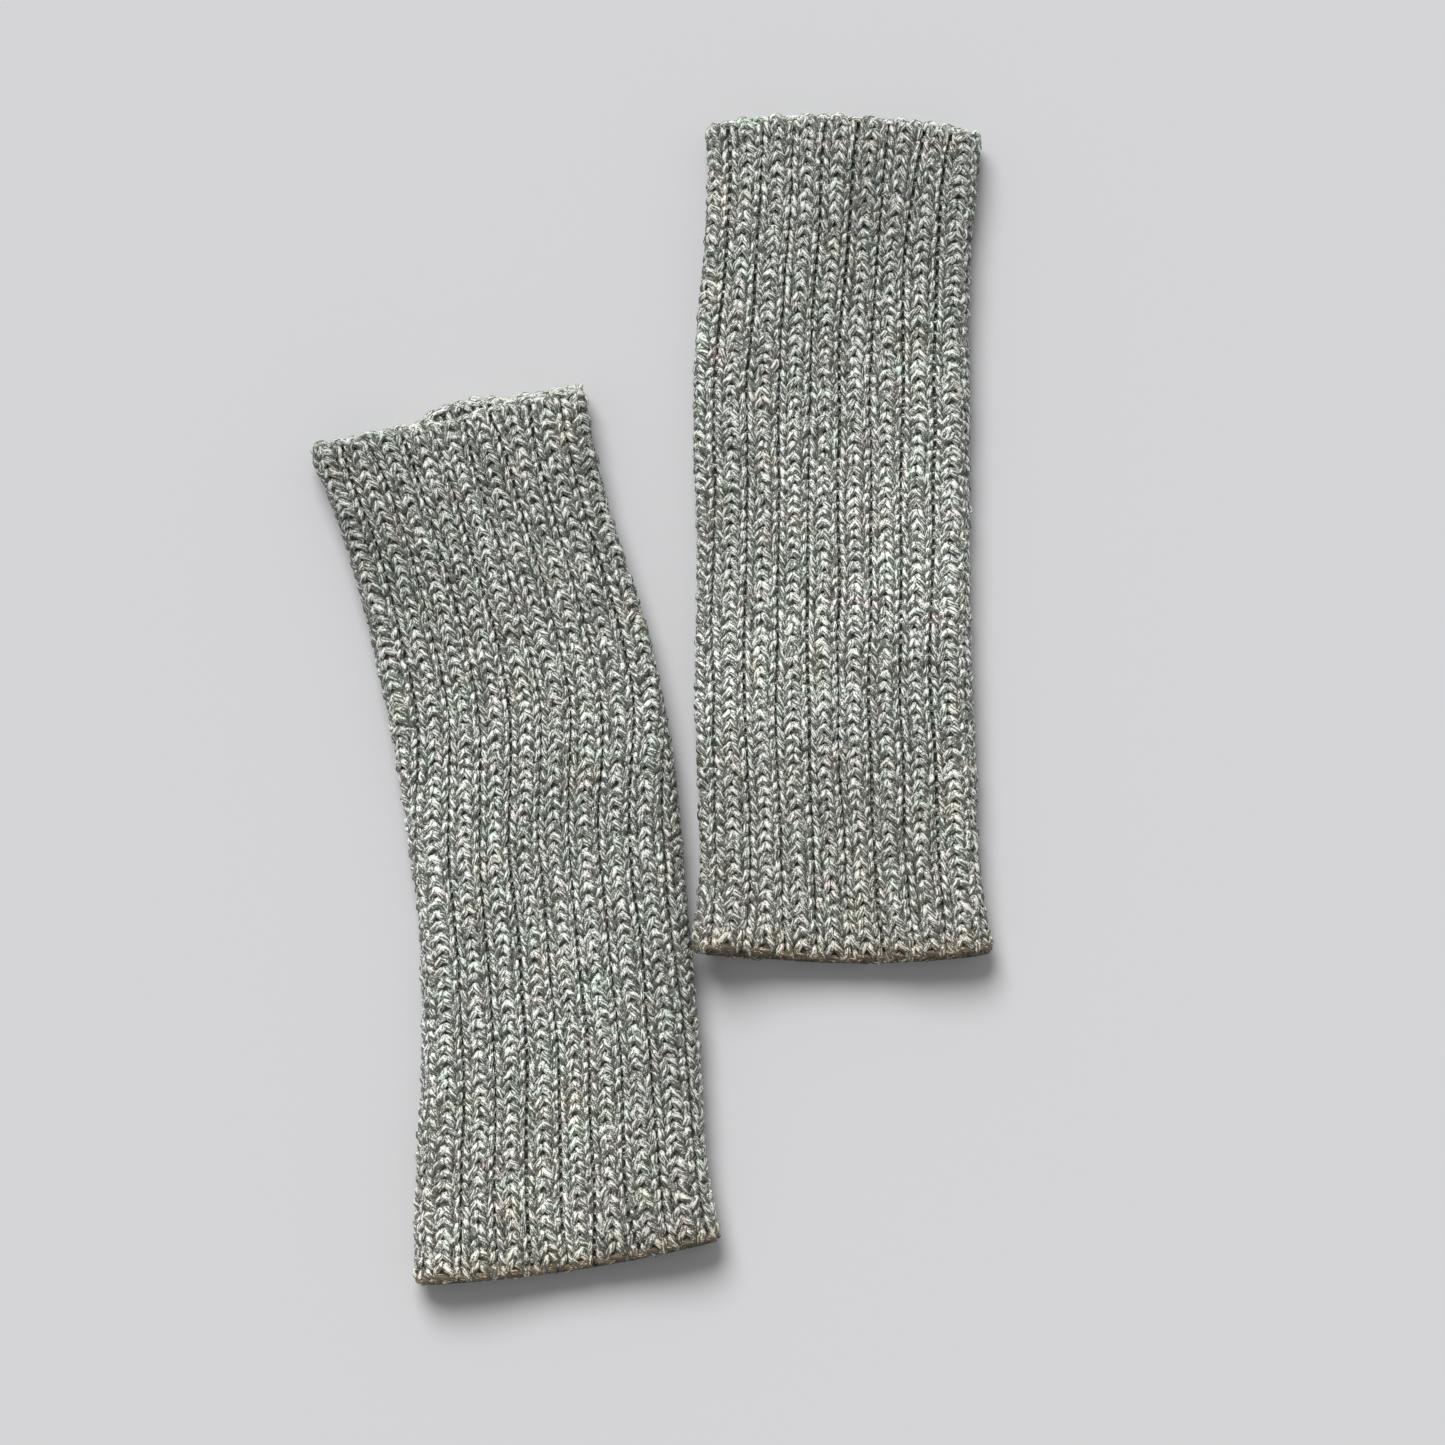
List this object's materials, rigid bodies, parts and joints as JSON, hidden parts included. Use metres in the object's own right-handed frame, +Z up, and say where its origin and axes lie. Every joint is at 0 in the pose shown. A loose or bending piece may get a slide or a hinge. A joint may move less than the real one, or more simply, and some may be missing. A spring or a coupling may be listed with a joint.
{
  "type": "fingerless gloves",
  "caption": "Pair of long ribbed knitted fingerless gloves: plain open-ended tubes in marled grey-green yarn, lying flat, that warm the wrist and palm.",
  "frame": {"origin": "centre of the pair's footprint, on the surface the gloves lie on", "axes": "+Z up from that surface, +Y along the ribs from the cast-on edges to the bind-off edges, +X across the pair to the right glove"},
  "size_m": [0.206, 0.3514, 0.016],
  "materials": {
    "ribbed_knit": "marled two-ply yarn in closed-up 2x2 rib, matt with a faint fuzz",
    "edge_knit": "the same marled yarn in a chain edge",
    "yarn_end": "the same marled yarn, woven in"
  },
  "bodies": {
    "left_glove": {"left_glove_ribbed_tube": "ribbed_knit", "left_glove_cast_on_edge": "edge_knit", "left_glove_bind_off_edge": "edge_knit", "left_glove_cast_on_tail": "yarn_end", "left_glove_bind_off_tail": "yarn_end"},
    "right_glove": {"right_glove_ribbed_tube": "ribbed_knit", "right_glove_cast_on_edge": "edge_knit", "right_glove_bind_off_edge": "edge_knit", "right_glove_cast_on_tail": "yarn_end", "right_glove_bind_off_tail": "yarn_end"}
  },
  "joints": [
    {"name": "right_glove_lift", "type": "slide", "parent": "left_glove", "child": "right_glove", "axis": [0, 0, 1], "range_m": [0, 0.12]}
  ]
}
